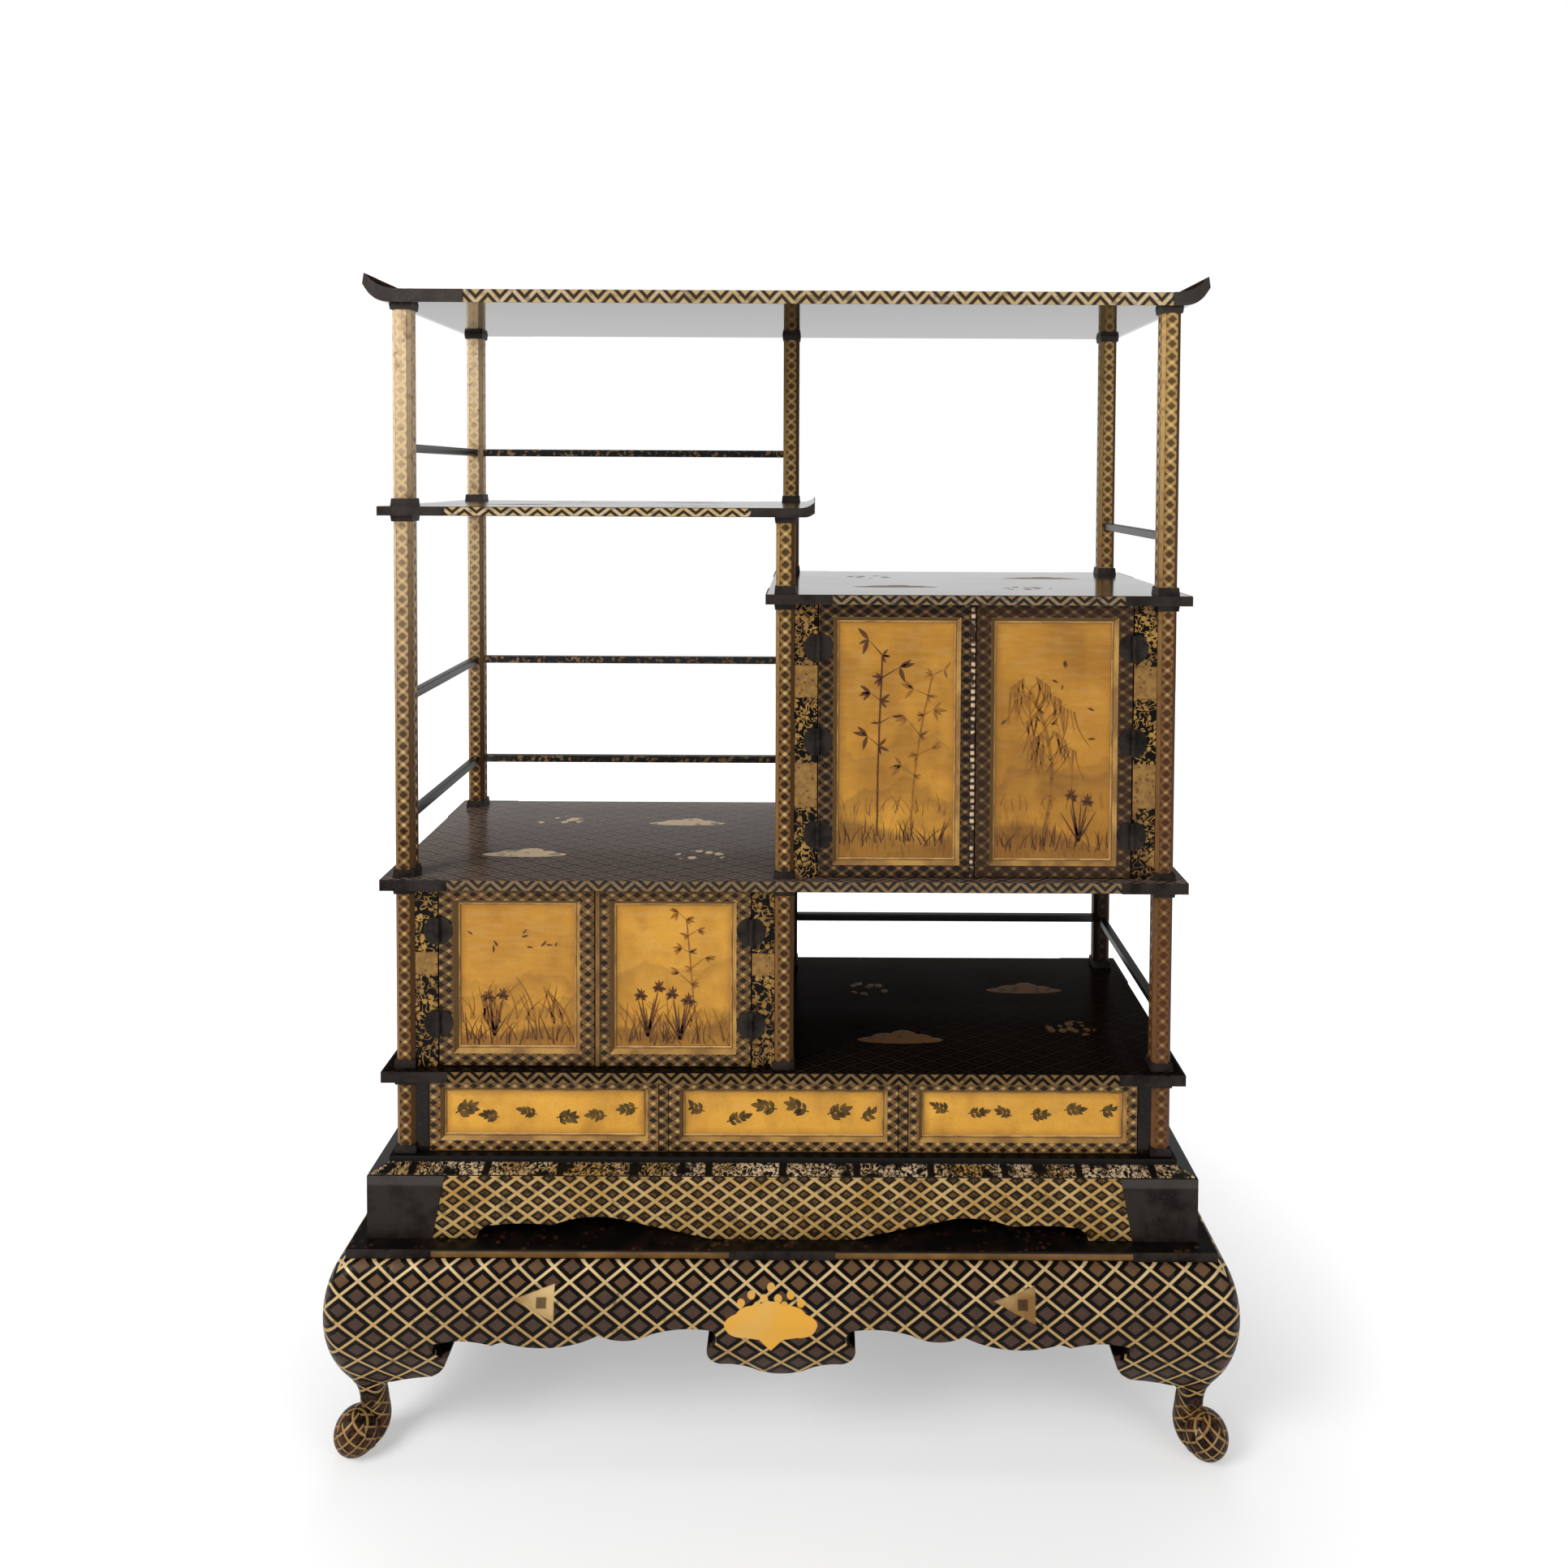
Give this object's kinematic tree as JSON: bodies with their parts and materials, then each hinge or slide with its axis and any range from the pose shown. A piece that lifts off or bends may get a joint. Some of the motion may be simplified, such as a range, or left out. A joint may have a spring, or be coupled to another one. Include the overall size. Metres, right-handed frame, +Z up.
{
  "type": "lacquered cabinet on stand",
  "caption": "Lacquered display cabinet with staggered open shelves, hinged cupboards and a drawer tier, on a swelling cabriole-legged stand",
  "frame": {"origin": "on the floor under the middle of the stand", "axes": "X to the right as seen from the front, Y to the back, Z up"},
  "size_m": [1.177, 0.482, 1.5305],
  "materials": {
    "bold_trellis_lacquer": "black lacquer with a bold gold lozenge trellis",
    "fine_trellis_lacquer": "black lacquer with a fine gold lozenge trellis",
    "post_lacquer": "gold-brown lacquer with a chain of small lozenges",
    "gold_panel_lacquer": "gold lacquer ground with mist bands and plants",
    "scale_lacquer": "gold-brown lacquer with a small scale pattern",
    "scroll_lacquer": "black lacquer with gold scrolling leaves",
    "shelf_lacquer": "glossy dark lacquer with gold clouds and a gold lattice on the edges",
    "black_lacquer": "glossy black lacquer",
    "drawer_wood": "plain dark lacquered wood",
    "dark_metal": "dark chiselled metal"
  },
  "bodies": {
    "carcass": {"back_left_post": "post_lacquer", "back_middle_post": "post_lacquer", "back_rails": "post_lacquer", "back_right_post": "post_lacquer", "board_mounts": "dark_metal", "case_back": "black_lacquer", "case_linings": "black_lacquer", "case_side_panels": "black_lacquer", "drawer_dividers": "black_lacquer", "fixed_hinge_leaves": "dark_metal", "front_left_post": "post_lacquer", "front_middle_post": "post_lacquer", "front_right_post": "post_lacquer", "lower_board": "shelf_lacquer", "lower_cupboard_panels": "black_lacquer", "lower_cupboard_stiles": "scroll_lacquer", "middle_board": "shelf_lacquer", "plinth_back_board": "fine_trellis_lacquer", "plinth_cornice": "black_lacquer", "plinth_front_board": "fine_trellis_lacquer", "plinth_mounts": "dark_metal", "plinth_side_boards": "fine_trellis_lacquer", "post_collars": "dark_metal", "right_cupboard_top": "shelf_lacquer", "side_rails": "post_lacquer", "small_left_shelf": "shelf_lacquer", "stand_back_apron": "bold_trellis_lacquer", "stand_back_left_leg": "bold_trellis_lacquer", "stand_back_right_leg": "bold_trellis_lacquer", "stand_front_apron": "bold_trellis_lacquer", "stand_front_left_leg": "bold_trellis_lacquer", "stand_front_right_leg": "bold_trellis_lacquer", "stand_mounts": "dark_metal", "stand_side_aprons": "bold_trellis_lacquer", "stand_top_board": "black_lacquer", "top_board": "shelf_lacquer", "upper_cupboard_panels": "black_lacquer", "upper_cupboard_stiles": "scroll_lacquer"},
    "left_drawer": {"left_drawer_box": "drawer_wood", "left_drawer_front": "scale_lacquer", "left_drawer_panel": "gold_panel_lacquer"},
    "lower_left_door": {"lower_left_door_frame": "scale_lacquer", "lower_left_door_hinges": "dark_metal", "lower_left_door_panel": "gold_panel_lacquer"},
    "lower_right_door": {"lower_right_door_frame": "scale_lacquer", "lower_right_door_hinges": "dark_metal", "lower_right_door_panel": "gold_panel_lacquer"},
    "middle_drawer": {"middle_drawer_box": "drawer_wood", "middle_drawer_front": "scale_lacquer", "middle_drawer_panel": "gold_panel_lacquer"},
    "right_drawer": {"right_drawer_box": "drawer_wood", "right_drawer_front": "scale_lacquer", "right_drawer_panel": "gold_panel_lacquer"},
    "upper_left_door": {"upper_left_door_frame": "scale_lacquer", "upper_left_door_hinges": "dark_metal", "upper_left_door_panel": "gold_panel_lacquer"},
    "upper_right_door": {"upper_right_door_frame": "scale_lacquer", "upper_right_door_hinges": "dark_metal", "upper_right_door_panel": "gold_panel_lacquer"}
  },
  "joints": [
    {"name": "left_drawer_slide", "type": "slide", "parent": "carcass", "child": "left_drawer", "axis": [0, -1, 0], "range_m": [0, 0.2]},
    {"name": "middle_drawer_slide", "type": "slide", "parent": "carcass", "child": "middle_drawer", "axis": [0, -1, 0], "range_m": [0, 0.2]},
    {"name": "right_drawer_slide", "type": "slide", "parent": "carcass", "child": "right_drawer", "axis": [0, -1, 0], "range_m": [0, 0.2]},
    {"name": "lower_left_door_hinge", "type": "hinge", "parent": "carcass", "child": "lower_left_door", "pos_m": [-0.45675, -0.1673, 0.607], "axis": [0, 0, -1], "range_deg": [0, 115]},
    {"name": "lower_right_door_hinge", "type": "hinge", "parent": "carcass", "child": "lower_right_door", "pos_m": [-0.04325, -0.1673, 0.607], "axis": [0, 0, 1], "range_deg": [0, 115]},
    {"name": "upper_left_door_hinge", "type": "hinge", "parent": "carcass", "child": "upper_left_door", "pos_m": [0.04325, -0.1673, 0.923], "axis": [0, 0, -1], "range_deg": [0, 115]},
    {"name": "upper_right_door_hinge", "type": "hinge", "parent": "carcass", "child": "upper_right_door", "pos_m": [0.45675, -0.1673, 0.923], "axis": [0, 0, 1], "range_deg": [0, 115]}
  ]
}
